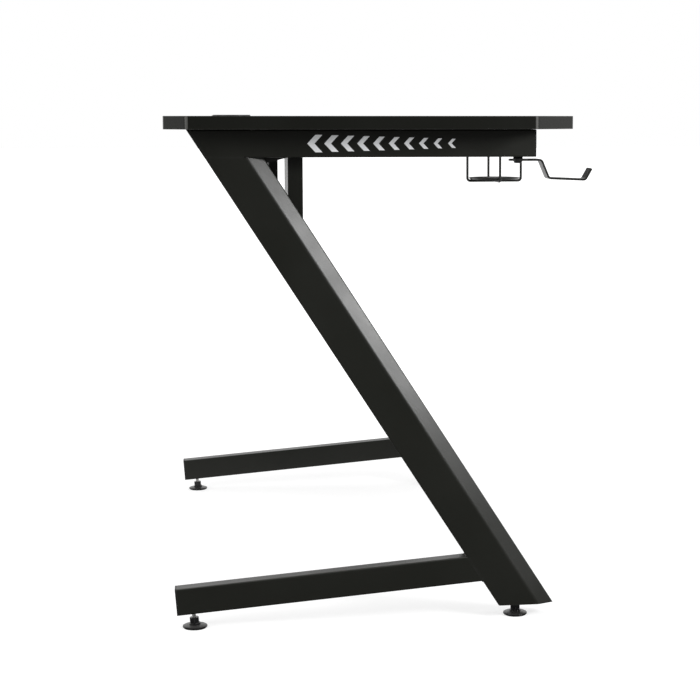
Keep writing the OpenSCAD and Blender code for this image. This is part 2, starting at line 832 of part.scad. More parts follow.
desktop_board();
edge_band();
desk_inserts();
desk_screws();
rail_pads();
grommet_sleeve();  // left_grommet_sleeve
right() grommet_sleeve();  // right_grommet_sleeve
grommet_cap();  // left_grommet_cap
right() grommet_cap();  // right_grommet_cap
left_top_rail();
right_top_rail();
rail_rear_plate();  // left_rail_rear_plate
right() rail_rear_plate();  // right_rail_rear_plate
rail_front_cap();  // left_rail_front_cap
right() rail_front_cap();  // right_rail_front_cap
diagonal_leg();  // left_diagonal_leg
right() diagonal_leg();  // right_diagonal_leg
leg_foot_plate();  // left_leg_foot_plate
right() leg_foot_plate();  // right_leg_foot_plate
base_bar();  // left_base_bar
right() base_bar();  // right_base_bar
bar_rear_cap();  // left_bar_rear_cap
right() bar_rear_cap();  // right_bar_rear_cap
chevrons();  // left_chevrons
right() chevrons();  // right_chevrons
corner_gussets();
crossbeam();
beam_bracket();  // left_beam_bracket
right() beam_bracket();  // right_beam_bracket
bracket_screws();
bracket_nuts();
beam_screws();
beam_nuts();
foot_nuts();
left_rear_foot_disc();
left_rear_foot_hex();
left_rear_foot_stud();
right() left_rear_foot_disc();  // right_rear_foot_disc
right() left_rear_foot_hex();  // right_rear_foot_hex
right() left_rear_foot_stud();  // right_rear_foot_stud
left_front_foot_disc();
left_front_foot_hex();
left_front_foot_stud();
right() left_front_foot_disc();  // right_front_foot_disc
right() left_front_foot_hex();  // right_front_foot_hex
right() left_front_foot_stud();  // right_front_foot_stud
cup_arm();
cup_basket();
cup_tray();
cup_screws();
hook_strip();
hook_screw();
hook_spacer();
accessory_nuts();
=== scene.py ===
# %% [markdown]
# # A gaming desk with Z-shaped steel frames
# The desk is seen from its left end. Every piece of it already exists as a solid at its true size, so this
# script dresses those solids: it rounds their edges, adds threads and weld beads, and gives each one a
# finish. The first cell loads the solids.

# %% Load the solids
import json
import math

import bpy
from mathutils import Matrix, Vector


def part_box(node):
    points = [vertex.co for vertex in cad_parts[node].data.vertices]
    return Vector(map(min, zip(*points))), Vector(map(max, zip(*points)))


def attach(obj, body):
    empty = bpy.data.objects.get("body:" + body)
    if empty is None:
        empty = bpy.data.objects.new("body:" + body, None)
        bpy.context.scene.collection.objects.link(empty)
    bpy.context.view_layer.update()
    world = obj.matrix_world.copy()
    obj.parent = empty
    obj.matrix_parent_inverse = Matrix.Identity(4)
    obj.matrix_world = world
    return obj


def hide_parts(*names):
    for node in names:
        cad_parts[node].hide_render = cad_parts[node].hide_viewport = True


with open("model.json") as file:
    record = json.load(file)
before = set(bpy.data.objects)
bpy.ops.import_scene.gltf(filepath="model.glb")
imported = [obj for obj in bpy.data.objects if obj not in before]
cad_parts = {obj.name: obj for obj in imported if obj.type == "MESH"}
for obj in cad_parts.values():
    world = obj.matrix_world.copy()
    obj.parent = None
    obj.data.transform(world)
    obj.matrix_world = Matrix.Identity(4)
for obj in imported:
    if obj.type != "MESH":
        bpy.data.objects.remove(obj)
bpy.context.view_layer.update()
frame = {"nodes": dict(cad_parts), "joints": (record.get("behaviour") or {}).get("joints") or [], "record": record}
nodes = frame["nodes"]
joints = {joint["name"]: joint for joint in frame["joints"]}
slots = {part["node"]: part["material_slot"] for part in frame["record"]["subparts"]}
body_of = {name: body for body, names in frame["record"]["behaviour"]["bodies"].items() for name in names}
MM = 0.001

# %% [markdown]
# ## Small helpers for shader nodes
# A material is a tree of nodes, and most of its lines would only create a node, set a number and draw a
# link. These helpers do that in one call each, so that the finishes below read like sentences.


# %% Node helpers
def feed(tree, value, socket):
    """Gives a socket a number, a colour of three numbers, or the output of another node."""
    if isinstance(value, (int, float)):
        socket.default_value = value
    elif isinstance(value, tuple):
        socket.default_value = (*value, 1)
    else:
        tree.links.new(value, socket)


def math_node(tree, operation, first, second=0.0, clamp=False):
    """A sum, product or other operation on two numbers or outputs."""
    node = tree.nodes.new("ShaderNodeMath")
    node.operation = operation
    node.use_clamp = clamp
    feed(tree, first, node.inputs[0])
    feed(tree, second, node.inputs[1])
    return node.outputs[0]


def ramp(tree, value, low, high, start=0.0, end=1.0, soft=False):
    """Maps low..high to start..end; a soft ramp eases in and out."""
    node = tree.nodes.new("ShaderNodeMapRange")
    if soft:
        node.interpolation_type = "SMOOTHSTEP"
    for socket, number in zip(("From Min", "From Max", "To Min", "To Max"), (low, high, start, end)):
        node.inputs[socket].default_value = number
    feed(tree, value, node.inputs["Value"])
    return node.outputs["Result"]


def mix_colors(tree, factor, first, second):
    """Goes from the first colour to the second as factor goes from 0 to 1."""
    color_a, color_b, color_out = 6, 7, 2
    node = tree.nodes.new("ShaderNodeMix")
    node.data_type = "RGBA"
    feed(tree, factor, node.inputs["Factor"])
    feed(tree, first, node.inputs[color_a])
    feed(tree, second, node.inputs[color_b])
    return node.outputs[color_out]


def noise(tree, where, scale, detail=2):
    """Soft noise; a larger scale gives smaller grains and more detail gives rougher ones."""
    node = tree.nodes.new("ShaderNodeTexNoise")
    node.inputs["Detail"].default_value = detail
    feed(tree, where, node.inputs["Vector"])
    feed(tree, scale, node.inputs["Scale"])
    return node.outputs["Fac"]


def relief(tree, height, strength, distance):
    """A normal that makes the surface look raised where height is large."""
    node = tree.nodes.new("ShaderNodeBump")
    node.inputs["Strength"].default_value = strength
    node.inputs["Distance"].default_value = distance
    feed(tree, height, node.inputs["Height"])
    return node.outputs[0]


def new_material(name):
    """A material, its tree, its shader and its Object coordinates."""
    material = bpy.data.materials.new(name)
    material.use_nodes = True
    tree = material.node_tree
    where = tree.nodes.new("ShaderNodeTexCoord").outputs["Object"]
    return material, tree, tree.nodes["Principled BSDF"], where


print("node helpers ready")

# %% [markdown]
# ## The camera
# A long lens two and a half metres from the near frame gives the photograph's flat perspective. The camera
# sits at the height of the top, so the top is a thin line, and looks slightly down and slightly to the
# front. The photograph was cropped off its lens axis, and the camera's shift gives the same framing. Lengths
# in this script are metres, MM turns millimetres into metres, and the camera's two angles are degrees.

# %% Camera
LEFT_OF_MIDDLE = 2.99466
BEFORE_REAR_EDGE = 0.06157
EYE_HEIGHT = 0.74688
LOOKS_DOWN = 5.6639
LOOKS_TO_FRONT = 7.4442
camera_data = bpy.data.cameras.new("camera")
camera_data.sensor_width = 36
camera_data.lens = 88.915
camera_data.shift_x = -0.1192
camera_data.shift_y = -0.0863
camera_data.clip_end = 200
camera = bpy.data.objects.new("camera", camera_data)
bpy.context.scene.collection.objects.link(camera)
rear_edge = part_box("edge_band")[1][1]
camera.location = (-LEFT_OF_MIDDLE, rear_edge - BEFORE_REAR_EDGE, EYE_HEIGHT)
camera.rotation_euler = (math.radians(90 - LOOKS_DOWN), 0, math.radians(-90 - LOOKS_TO_FRONT))
bpy.context.scene.camera = camera
print("camera at", tuple(round(v, 3) for v in camera.location))

# %% [markdown]
# ## Light and background
# The product stands in a studio that is white behind and beside it and dim behind the camera. Camera rays
# see plain white. Mirrored rays see white ahead and almost nothing behind the camera, which keeps the near
# faces black and the edges bright, as in the photograph. Everything else gets an even grey light.

# %% World
EVEN_LIGHT = 0.95
DIM_BEHIND = 0.10
HALF_TURN = 0.35
scene = bpy.context.scene
scene.view_settings.view_transform = "Standard"
world = bpy.data.worlds.new("studio")
scene.world = world
world.use_nodes = True
world.cycles.sampling_method = "NONE"
sky = world.node_tree
air = sky.nodes["Background"]
ray = sky.nodes.new("ShaderNodeLightPath").outputs
direction = sky.nodes.new("ShaderNodeSeparateXYZ")
feed(sky, sky.nodes.new("ShaderNodeTexCoord").outputs["Generated"], direction.inputs[0])
ahead = ramp(sky, direction.outputs["X"], -HALF_TURN, HALF_TURN, DIM_BEHIND)
plain = math_node(sky, "MAXIMUM", ray["Is Camera Ray"], ray["Is Transmission Ray"])
mirrored = math_node(sky, "MULTIPLY", ray["Is Glossy Ray"], ahead)
even = math_node(sky, "MULTIPLY", ray["Is Diffuse Ray"], EVEN_LIGHT)
strength = math_node(sky, "ADD", even, math_node(sky, "MAXIMUM", plain, mirrored))
feed(sky, (1, 1, 1), air.inputs["Color"])
feed(sky, strength, air.inputs["Strength"])
print("world ready")

# %% [markdown]
# Three rectangular lamps shape the frames. One in front lights the bevel of the near leg from the side, one
# at the rear lights the ends of the bars, and a large one above gives the tops of the bars their pale line.


# %% Soft panels
def soft_panel(name, place, aim, width, height, watts):
    """A rectangular lamp that faces the point aim."""
    data = bpy.data.lights.new(name, "AREA")
    data.shape = "RECTANGLE"
    data.size = width
    data.size_y = height
    data.energy = watts
    lamp = bpy.data.objects.new(name, data)
    scene.collection.objects.link(lamp)
    lamp.location = place
    lamp.rotation_euler = (Vector(aim) - Vector(place)).to_track_quat("-Z", "Y").to_euler()
    return lamp


soft_panel("panel_front", (-1.55, -1.44, 1.21), (-0.49, 0.02, 0.62), width=0.62, height=0.46, watts=27)
soft_panel("panel_rear", (-1.5, 2.2, 1.1), (-0.45, 0.25, 0.7), width=0.9, height=0.8, watts=20)
soft_panel("panel_top", (-0.4, 0.1, 3.2), (0, 0, 0.4), width=2.6, height=2.2, watts=40)

# %% [markdown]
# The floor is pale paper. A little light of its own lifts it to white for the camera: less near the desk,
# so that the shadow stays, and more far away. Mirrored rays see the same white ahead, and dim paper behind
# the camera.

# %% Floor
PAPER = (0.40, 0.40, 0.40)
DIM_PAPER = (0.07, 0.07, 0.07)
GLOW_AT_DESK = 0.66
NEAR_DESK, FAR_OUT = 0.6, 2.0
DIM_UP_TO, WHITE_FROM = -0.4, 1.3
bpy.ops.object.select_all(action="DESELECT")
bpy.ops.mesh.primitive_plane_add(size=80)
floor = bpy.context.active_object
floor.name = "studio_floor"
paper, tree, base, where = new_material("pale_floor")
base.inputs["Roughness"].default_value = 0.9
base.inputs["Specular IOR Level"].default_value = 0.1
reach = tree.nodes.new("ShaderNodeVectorMath")
reach.operation = "LENGTH"
spot = tree.nodes.new("ShaderNodeSeparateXYZ")
feed(tree, where, reach.inputs[0])
feed(tree, where, spot.inputs[0])
away = ramp(tree, reach.outputs["Value"], NEAR_DESK, FAR_OUT, GLOW_AT_DESK, soft=True)
beyond = ramp(tree, spot.outputs["X"], DIM_UP_TO, WHITE_FROM, soft=True)
ray = tree.nodes.new("ShaderNodeLightPath").outputs
mirrored = math_node(tree, "MULTIPLY", ray["Is Glossy Ray"], beyond)
straight = math_node(tree, "MAXIMUM", ray["Is Camera Ray"], ray["Is Transmission Ray"])
looked_at = math_node(tree, "MAXIMUM", straight, mirrored)
feed(tree, (1, 1, 1), base.inputs["Emission Color"])
feed(tree, math_node(tree, "MULTIPLY", looked_at, away), base.inputs["Emission Strength"])
behind = math_node(tree, "SUBTRACT", ray["Is Glossy Ray"], mirrored, clamp=True)
feed(tree, mix_colors(tree, behind, PAPER, DIM_PAPER), base.inputs["Base Color"])
floor.data.materials.append(paper)
print("floor ready")

# %% [markdown]
# ## Effects that several finishes share
# Small things make a surface believable: rubbed edges, which also carry a painted highlight, a fine grain
# and a little dust. Each is a node group, so it is built once and used in several materials with other
# values. A group gives only masks and heights, and the material itself decides what they do.


# %% A helper for node groups
def new_group(name, numbers, outputs):
    """An empty node group that reads coordinates and named numbers; returns it with its two ends."""
    group = bpy.data.node_groups.new(name, "ShaderNodeTree")
    group.interface.new_socket("Vector", in_out="INPUT", socket_type="NodeSocketVector")
    for socket, value in numbers.items():
        made = group.interface.new_socket(socket, in_out="INPUT", socket_type="NodeSocketFloat")
        made.default_value = value
    for socket in outputs:
        group.interface.new_socket(socket, in_out="OUTPUT", socket_type="NodeSocketFloat")
    return group, group.nodes.new("NodeGroupInput").outputs, group.nodes.new("NodeGroupOutput").inputs


print("group helper ready")

# %% [markdown]
# Paint and plastic wear first where two faces meet, and the lighter edges are partly rubbed wear and partly
# a painted edge highlight. The Bevel node looks at the surface a little way round each point: near an edge
# its normal turns away from the true one. The difference, broken up by noise, is the mask.

# %% Edge wear and painted edge highlight group
EDGE_CONTRAST = 9.0
wear_and_highlight, given, result = new_group("edge_wear", {"Radius": 0.0012, "Amount": 1.0, "Breakup": 90.0}, ["Mask"])
around = wear_and_highlight.nodes.new("ShaderNodeBevel")
around.samples = 4
compare = wear_and_highlight.nodes.new("ShaderNodeVectorMath")
compare.operation = "DOT_PRODUCT"
feed(wear_and_highlight, given["Radius"], around.inputs["Radius"])
feed(wear_and_highlight, around.outputs[0], compare.inputs[0])
feed(wear_and_highlight, wear_and_highlight.nodes.new("ShaderNodeNewGeometry").outputs["Normal"], compare.inputs[1])
patches = noise(wear_and_highlight, given["Vector"], given["Breakup"], detail=5)
turned = math_node(wear_and_highlight, "SUBTRACT", 1.0, compare.outputs["Value"])
edge = math_node(wear_and_highlight, "MULTIPLY", turned, EDGE_CONTRAST, clamp=True)
rough_edge = math_node(wear_and_highlight, "MULTIPLY", edge, patches)
feed(wear_and_highlight, math_node(wear_and_highlight, "MULTIPLY", rough_edge, given["Amount"], clamp=True), result["Mask"])
print("edge wear group:", len(wear_and_highlight.nodes), "nodes")

# %% [markdown]
# Powder coat is a melted powder and keeps a fine orange peel. Two sizes of noise give it: tiny grains on a
# slower swell. The same group makes the leather-like grain of moulded plastic and of the laminate.

# %% Grain group
number_a, number_b = 2, 3
inputs = {"Grain": 2400, "Swell": 260, "Mix": 0.35}
grain, given, result = new_group("fine_grain", inputs, ["Height", "Patch"])
peel = grain.nodes.new("ShaderNodeMix")
feed(grain, given["Mix"], peel.inputs["Factor"])
feed(grain, noise(grain, given["Vector"], given["Grain"], detail=3), peel.inputs[number_a])
feed(grain, noise(grain, given["Vector"], given["Swell"]), peel.inputs[number_b])
feed(grain, peel.outputs[0], result["Height"])
feed(grain, noise(grain, given["Vector"], 9, detail=4), result["Patch"])
print("grain group:", len(grain.nodes), "nodes")

# %% [markdown]
# Dust lies on what faces up. The mask is the upward part of the normal, with soft cloudy gaps.

# %% Dust group
STEEPEST_DUSTY = 0.55
dust, given, result = new_group("settled_dust", {"Amount": 0.5, "Clouds": 14.0}, ["Mask"])
parts = dust.nodes.new("ShaderNodeSeparateXYZ")
feed(dust, dust.nodes.new("ShaderNodeNewGeometry").outputs["Normal"], parts.inputs[0])
upward = math_node(dust, "SUBTRACT", parts.outputs["Z"], STEEPEST_DUSTY, clamp=True)
spread = math_node(dust, "MULTIPLY", upward, noise(dust, given["Vector"], given["Clouds"], detail=6))
feed(dust, math_node(dust, "MULTIPLY", spread, given["Amount"], clamp=True), result["Mask"])
print("dust group:", len(dust.nodes), "nodes")

# %% [markdown]
# ## Finishes
# Nearly everything is black, but not the same black. The powder coat is matt with a fine grain, the edge
# band and plastics are smoother, the screws shinier and the rubber dead matt. One function builds the black
# finishes from the shared groups, and each finish has its own numbers.


# %% Black finishes
DUST = (0.30, 0.29, 0.28)
DARKER, LIGHTER = 0.84, 1.16
GLOSS_SWING = 0.22
DUST_ROUGHNESS = 0.4
GRAIN_HEIGHT = 0.25 * MM


def finish(name, color, roughness, worn_and_lit, grain_size, swell, bump, wear_and_highlight_amount, dust_amount, specular=0.5):
    """A dark finish with grain, dust, and lighter edges in the worn colour given: rubbed wear and painted
    highlight.
    """
    material, tree, surface, where = new_material(name)

    def effect(group, **values):
        """One of the shared groups at this material's coordinates; gives its outputs."""
        node = tree.nodes.new("ShaderNodeGroup")
        node.node_tree = group
        feed(tree, where, node.inputs["Vector"])
        for socket, value in values.items():
            node.inputs[socket].default_value = value
        return node.outputs

    graining = effect(grain, Grain=grain_size, Swell=swell)
    rubbing_and_highlight = effect(wear_and_highlight, Amount=wear_and_highlight_amount)
    dusting = effect(dust, Amount=dust_amount)
    dark, light = (tuple(share * c for c in color) for share in (DARKER, LIGHTER))
    tone = mix_colors(tree, graining["Patch"], dark, light)
    # Edges turn lighter: partly rubbed wear, partly a painted edge highlight.
    rubbed_and_lit = mix_colors(tree, rubbing_and_highlight["Mask"], tone, worn_and_lit)
    feed(tree, mix_colors(tree, dusting["Mask"], rubbed_and_lit, DUST), surface.inputs["Base Color"])
    swing = math_node(tree, "MULTIPLY", graining["Patch"], GLOSS_SWING)
    uneven = math_node(tree, "ADD", swing, roughness - GLOSS_SWING / 2)
    matter = math_node(tree, "MULTIPLY", dusting["Mask"], DUST_ROUGHNESS)
    feed(tree, math_node(tree, "ADD", uneven, matter, clamp=True), surface.inputs["Roughness"])
    feed(tree, relief(tree, graining["Height"], bump, GRAIN_HEIGHT), surface.inputs["Normal"])
    surface.inputs["Specular IOR Level"].default_value = specular
    return material


paints = {
    "powder_coat": finish(
        "matt_powder_coat", (0.0084, 0.0090, 0.0062), roughness=0.36, worn_and_lit=(0.05, 0.05, 0.052),
        grain_size=1500, swell=420, bump=0.35, wear_and_highlight_amount=0.55, dust_amount=0.25),
    "accessory_coat": finish(
        "satin_powder_coat", (0.0074, 0.0077, 0.0064), roughness=0.36, worn_and_lit=(0.05, 0.05, 0.052),
        grain_size=1900, swell=500, bump=0.18, wear_and_highlight_amount=0.5, dust_amount=0.2),
    "edge_plastic": finish(
        "satin_edge_band", (0.0072, 0.0076, 0.0060), roughness=0.36, worn_and_lit=(0.09, 0.09, 0.085),
        grain_size=2600, swell=300, bump=0.15, wear_and_highlight_amount=0.8, dust_amount=0.1, specular=0.16),
    "desk_laminate": finish(
        "textured_laminate", (0.0095, 0.0095, 0.0098), roughness=0.46, worn_and_lit=(0.05, 0.05, 0.05),
        grain_size=1100, swell=600, bump=0.5, wear_and_highlight_amount=0.2, dust_amount=0.12),
    "cap_plastic": finish(
        "moulded_cap_plastic", (0.0075, 0.0075, 0.0076), roughness=0.45, worn_and_lit=(0.03, 0.03, 0.03),
        grain_size=1300, swell=300, bump=0.35, wear_and_highlight_amount=0.35, dust_amount=0.15),
    "grommet_plastic": finish(
        "moulded_grommet_plastic", (0.0095, 0.0095, 0.0098), roughness=0.42, worn_and_lit=(0.03, 0.03, 0.03),
        grain_size=1300, swell=300, bump=0.35, wear_and_highlight_amount=0.35, dust_amount=0.25),
    "foot_plastic": finish(
        "moulded_foot_plastic", (0.0060, 0.0060, 0.0062), roughness=0.27, worn_and_lit=(0.03, 0.03, 0.03),
        grain_size=1400, swell=350, bump=0.35, wear_and_highlight_amount=0.4, dust_amount=0.35),
    "foot_collar": finish(
        "coated_collar_steel", (0.006, 0.006, 0.0064), roughness=0.24, worn_and_lit=(0.12, 0.12, 0.12),
        grain_size=1600, swell=350, bump=0.2, wear_and_highlight_amount=0.7, dust_amount=0.2),
    "black_screw": finish(
        "black_zinc_screw", (0.012, 0.012, 0.013), roughness=0.28, worn_and_lit=(0.20, 0.20, 0.21),
        grain_size=1800, swell=350, bump=0.15, wear_and_highlight_amount=0.8, dust_amount=0.1),
    "black_rubber": finish(
        "matt_rubber", (0.0065, 0.0065, 0.0065), roughness=0.75, worn_and_lit=(0.012, 0.012, 0.012),
        grain_size=1200, swell=260, bump=0.6, wear_and_highlight_amount=0.3, dust_amount=0.25, specular=0.3),
}
print(len(paints), "black finishes")

# %% [markdown]
# The edge band gets a painted highlight where it is bent round the top's corners: its colour turns lighter
# there, which draws two pale upright lines. The smaller of the two sideways parts of the normal is nothing on
# the straight sides and large on the corner cuts, and only the bends lie between them.

# %% Painted highlight on the edge band's bends
STRAIGHT, BEND_STARTS = 0.01, 0.14
CORNER_CUT, BEND_ENDS = 0.60, 0.52
CORNER_HIGHLIGHT_TONE = (0.070, 0.070, 0.066)
tree = paints["edge_plastic"].node_tree
band_color = tree.nodes["Principled BSDF"].inputs["Base Color"]
sides = tree.nodes.new("ShaderNodeSeparateXYZ")
feed(tree, tree.nodes.new("ShaderNodeTexCoord").outputs["Normal"], sides.inputs[0])
turned = math_node(tree, "MINIMUM", *[math_node(tree, "ABSOLUTE", sides.outputs[axis]) for axis in "XY"])
past_the_side = ramp(tree, turned, STRAIGHT, BEND_STARTS, soft=True)
before_the_cut = ramp(tree, turned, CORNER_CUT, BEND_ENDS, soft=True)
painted_corner_highlight = math_node(tree, "MULTIPLY", past_the_side, before_the_cut)
# Painted highlight: the colour turns lighter on the bends round the corners.
feed(tree, mix_colors(tree, painted_corner_highlight, band_color.links[0].from_socket, CORNER_HIGHLIGHT_TONE), band_color)
print("edge band bends done")

# %% [markdown]
# The bright metals are the zinc-plated studs and nuts, and the brass inserts inside the board. Turned steel
# shows fine rings round its axis and a faint yellow and blue cast from the plating.


# %% Bright metals
RINGS = (300, 300, 9000)
RING_GLOSS_SWING, RING_GLOSS_DROP = 0.25, 0.12
RING_HEIGHT = 0.05 * MM


def bright_metal(name, color, cast, roughness, metallic=1.0):
    """Plated steel or brass with fine turning marks and a slow drift of colour."""
    material, tree, surface, where = new_material(name)
    surface.inputs["Metallic"].default_value = metallic
    stretch = tree.nodes.new("ShaderNodeMapping")
    stretch.inputs["Scale"].default_value = RINGS
    feed(tree, where, stretch.inputs["Vector"])
    marks = noise(tree, stretch.outputs[0], 1, detail=3)
    drift = noise(tree, where, 180)
    feed(tree, mix_colors(tree, drift, color, cast), surface.inputs["Base Color"])
    swing = math_node(tree, "MULTIPLY", marks, RING_GLOSS_SWING)
    feed(tree, math_node(tree, "ADD", swing, roughness - RING_GLOSS_DROP), surface.inputs["Roughness"])
    feed(tree, relief(tree, marks, 0.3, RING_HEIGHT), surface.inputs["Normal"])
    return material


paints["zinc_stud"] = bright_metal("bright_zinc", (0.66, 0.67, 0.68), (0.72, 0.70, 0.65), 0.34, metallic=0.6)
paints["zinc_steel"] = bright_metal("plain_zinc", (0.50, 0.51, 0.53), (0.58, 0.56, 0.50), 0.38)
paints["brass_insert"] = bright_metal("plain_brass", (0.62, 0.46, 0.18), (0.70, 0.55, 0.26), 0.32)
print("bright metals ready")

# %% [markdown]
# The chevrons are cut from silver grey film, printed with rows of fine dots. A Voronoi texture without any
# randomness is a regular grid of cells, and turned by 45 degrees it gives the rows.

# %% Silver film
DOTS_PER_METRE = 620
DOT_EDGE, DOT_END = 0.28, 0.42
SILVER, PALE_SILVER = (0.60, 0.61, 0.62), (0.76, 0.77, 0.78)
INK_HEIGHT = 0.08 * MM
FILM_ROUGHNESS, FILM_GLOSS_SWING = 0.32, 0.2
film, tree, surface, where = new_material("dotted_silver_film")
turn = tree.nodes.new("ShaderNodeMapping")
turn.inputs["Rotation"].default_value = (math.radians(45), 0, 0)
cells = tree.nodes.new("ShaderNodeTexVoronoi")
cells.inputs["Scale"].default_value = DOTS_PER_METRE
cells.inputs["Randomness"].default_value = 0
feed(tree, where, turn.inputs["Vector"])
feed(tree, turn.outputs[0], cells.inputs["Vector"])
dots = ramp(tree, cells.outputs["Distance"], DOT_EDGE, DOT_END)
feed(tree, mix_colors(tree, dots, SILVER, PALE_SILVER), surface.inputs["Base Color"])
uneven = math_node(tree, "MULTIPLY", noise(tree, where, 60), FILM_GLOSS_SWING)
feed(tree, math_node(tree, "ADD", uneven, FILM_ROUGHNESS), surface.inputs["Roughness"])
feed(tree, relief(tree, dots, 0.25, INK_HEIGHT), surface.inputs["Normal"])
paints["silver_film"] = film
print(len(paints), "finishes in all")

# %% [markdown]
# ## Dressing the solids
# The solids come as loose triangles. A copy of each is merged and its flat faces joined again, then every
# sharp edge gets a small bevel: no real edge is perfectly sharp, and the bevel is what catches the light.

# %% Selection and finish helpers
SMOOTH_UP_TO = math.radians(32)


def select_only(thing):
    """Makes one object the only selected and the active one."""
    if bpy.context.mode != "OBJECT":
        bpy.ops.object.mode_set(mode="OBJECT")
    bpy.ops.object.select_all(action="DESELECT")
    thing.select_set(True)
    bpy.context.view_layer.objects.active = thing


def edit_all():
    """Opens the active object for editing with everything selected."""
    bpy.ops.object.mode_set(mode="EDIT")
    bpy.ops.mesh.select_all(action="SELECT")


def wear_finish(piece, slot):
    """Gives a piece the finish of one of the record's slots."""
    piece.data.materials.clear()
    piece.data.materials.append(paints[slot])


def stand_for(piece, name):
    """Makes a piece take the finish, the body and the place of a solid."""
    wear_finish(piece, slots[name])
    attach(piece, body_of[name])
    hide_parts(name)


print("selection and finish helpers ready")

# %% Dress one solid
SAME_POINT = 0.004 * MM
SAME_PLANE = math.radians(0.4)
EDGE_SEGMENTS = 3


def dress(name, edge):
    """A merged copy of a solid with bevelled edges and its finish, which stands for the solid."""
    piece = bpy.data.objects.new(name + "_dressed", nodes[name].data.copy())
    scene.collection.objects.link(piece)
    select_only(piece)
    if piece.data.has_custom_normals:
        bpy.ops.mesh.customdata_custom_splitnormals_clear()
    edit_all()
    bpy.ops.mesh.remove_doubles(threshold=SAME_POINT)
    bpy.ops.mesh.dissolve_limited(angle_limit=SAME_PLANE)
    bpy.ops.object.mode_set(mode="OBJECT")
    if edge:
        rounding = piece.modifiers.new("edges", "BEVEL")
        rounding.width = edge
        rounding.segments = EDGE_SEGMENTS
        rounding.limit_method = "ANGLE"
        rounding.angle_limit = math.radians(40)
        rounding.use_clamp_overlap = True
        bpy.ops.object.modifier_apply(modifier="edges")
    bpy.ops.object.shade_smooth_by_angle(angle=SMOOTH_UP_TO)
    stand_for(piece, name)
    return piece


print("dressing ready")

# %% [markdown]
# Tubes and plates that are welded flush keep their edges as they are, because a bevel there would draw a
# groove along a joint that is ground smooth and painted over. All other pieces get the bevel that suits
# their size.

# %% Choose the edges
COMMON_EDGE = 0.3 * MM
edge_sizes = {
    "edge_band": 0.5 * MM, "rail_pads": 0.15 * MM, "cup_tray": 0.4 * MM, "cup_arm": 0.5 * MM,
    "cup_basket": 0, "hook_strip": 0.5 * MM, "corner_gussets": 0.25 * MM,
}
edge_endings = {
    "_top_rail": 0, "_diagonal_leg": 0, "_base_bar": 0, "_rail_rear_plate": 0, "_leg_foot_plate": 0,
    "_chevrons": 0.05 * MM, "_front_cap": 1.1 * MM, "_rear_cap": 1.1 * MM, "_foot_disc": 0.6 * MM,
}
hidden = {"desk_inserts", "accessory_nuts", "bracket_nuts", "beam_nuts", "foot_nuts", "desktop_board"}
screw_heads = {"desk_screws": (0, 0, -1), "cup_screws": (0, 0, -1), "hook_screw": (0, 0, -1),
               "beam_screws": (0, 1, 0), "bracket_screws": (1, 0, 0)}
dressed = {}
for name in sorted(nodes):
    if name.endswith("_foot_stud") or name in screw_heads:
        continue
    if name in hidden:
        nodes[name].data.materials.clear()
        nodes[name].data.materials.append(paints[slots[name]])
        continue
    by_ending = [size for ending, size in edge_endings.items() if name.endswith(ending)]
    dressed[name] = dress(name, by_ending[0] if by_ending else edge_sizes.get(name, COMMON_EDGE))
print(len(dressed), "solids dressed")

# %% [markdown]
# ## Cutting one piece with another
# Sockets, chamfers and pockets are cut as in a workshop: a tool is laid against the piece, and a boolean
# modifier takes away what the tool covers, or keeps only that. The tool is thrown away afterwards.


# %% Cutting helpers
def extent(piece):
    """Lowest and highest corner of a piece, read from its points."""
    points = [piece.matrix_world @ v.co for v in piece.data.vertices]
    return (Vector([min(p[i] for p in points) for i in range(3)]),
            Vector([max(p[i] for p in points) for i in range(3)]))


def combine(piece, tool, operation, smooth=SMOOTH_UP_TO):
    """Cuts a piece with a tool, or keeps what both share, and throws the tool away."""
    select_only(piece)
    step = piece.modifiers.new("combine", "BOOLEAN")
    step.operation = operation
    step.solver = "EXACT"
    step.object = tool
    bpy.ops.object.modifier_apply(modifier="combine")
    bpy.data.objects.remove(tool)
    bpy.ops.object.shade_smooth_by_angle(angle=smooth)


def upright_along(direction):
    """The turn that stands a new cylinder along a direction."""
    return direction.to_track_quat("Z", "Y").to_euler()


print("cutting helpers ready")

# %% [markdown]
# ## Screws with hex sockets
# One screw node holds several screws. The dressed copy is split into single screws, so that each head can
# be found by its box. A short six-sided cutter in the middle of the head leaves the socket for the key.

# %% Cut the sockets
KEY = 4 * MM
SOCKET_DEPTH = 1.9 * MM
HEAD_EDGE = 0.7 * MM
sockets = 0
for name, outward in screw_heads.items():
    select_only(dress(name, HEAD_EDGE))
    edit_all()
    bpy.ops.mesh.separate(type="LOOSE")
    bpy.ops.object.mode_set(mode="OBJECT")
    for screw in list(bpy.context.selected_objects):
        low, high = extent(screw)
        middle, half = (low + high) / 2, (high - low) / 2
        out = Vector(outward)
        if out.x:
            out.x = -math.copysign(1, middle.x)
        face = middle + Vector([o * h for o, h in zip(out, half)])
        bpy.ops.object.select_all(action="DESELECT")
        bpy.ops.mesh.primitive_cylinder_add(vertices=6, radius=KEY / math.sqrt(3), depth=2 * SOCKET_DEPTH,
                                            location=face, rotation=upright_along(out))
        combine(screw, bpy.context.active_object, "DIFFERENCE")
        stand_for(screw, name)
        sockets += 1
print(sockets, "sockets")

# %% [markdown]
# ## Chamfered collars
# The hex collar of a foot is a nut, and a nut's corners are turned off at its ends. A cylinder just inside
# the corners, with bevelled rims, is laid round each collar and only what both share is kept.

